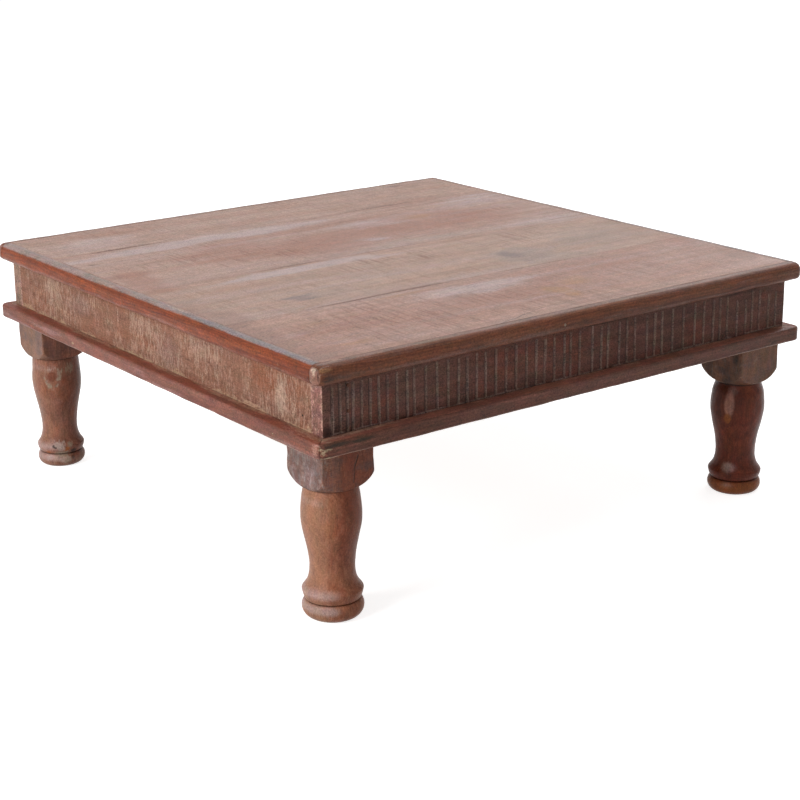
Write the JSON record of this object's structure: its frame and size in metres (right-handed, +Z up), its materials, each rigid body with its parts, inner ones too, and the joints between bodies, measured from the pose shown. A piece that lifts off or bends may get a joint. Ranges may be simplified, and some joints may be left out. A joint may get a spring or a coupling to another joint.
{
  "type": "low table",
  "caption": "Low square bajot table: nosed plank top on a reeded frieze with a base moulding, standing on short turned legs.",
  "frame": {"origin": "on the floor under the middle of the table", "axes": "+Z up; -Y towards the reeded front, +X to the right as seen from the front"},
  "size_m": [0.67, 0.677, 0.2745],
  "materials": {
    "top_wood": "worn waxed hardwood, greyed and scuffed, with saw marks across the planks",
    "edging_wood": "waxed reddish hardwood, rubbed smooth along the nosing",
    "reeded_wood": "dark waxed hardwood with dust in the V cuts",
    "frieze_wood": "rough sawn hardwood, dry, with pale dust in the saw marks",
    "moulding_wood": "waxed hardwood, satin",
    "leg_wood": "turned hardwood, satin wax",
    "hidden_wood": "raw sawn hardwood",
    "nail_iron": "dark drawn iron wire, slightly rusted"
  },
  "bodies": {
    "root": {"top_plank_front": "top_wood", "top_plank_middle_front": "top_wood", "top_plank_middle_back": "top_wood", "top_plank_back": "top_wood", "edging_front": "edging_wood", "edging_back": "edging_wood", "edging_left": "edging_wood", "edging_right": "edging_wood", "frieze_front": "reeded_wood", "frieze_back": "reeded_wood", "frieze_left": "frieze_wood", "frieze_right": "frieze_wood", "base_moulding_front": "moulding_wood", "base_moulding_back": "moulding_wood", "base_moulding_left": "moulding_wood", "base_moulding_right": "moulding_wood", "leg_front_left": "leg_wood", "leg_front_right": "leg_wood", "leg_back_left": "leg_wood", "leg_back_right": "leg_wood", "batten_left": "hidden_wood", "batten_right": "hidden_wood", "edging_nails": "nail_iron", "plank_nails": "nail_iron", "frieze_nails": "nail_iron", "moulding_nails": "nail_iron", "batten_nails": "nail_iron"}
  },
  "joints": []
}
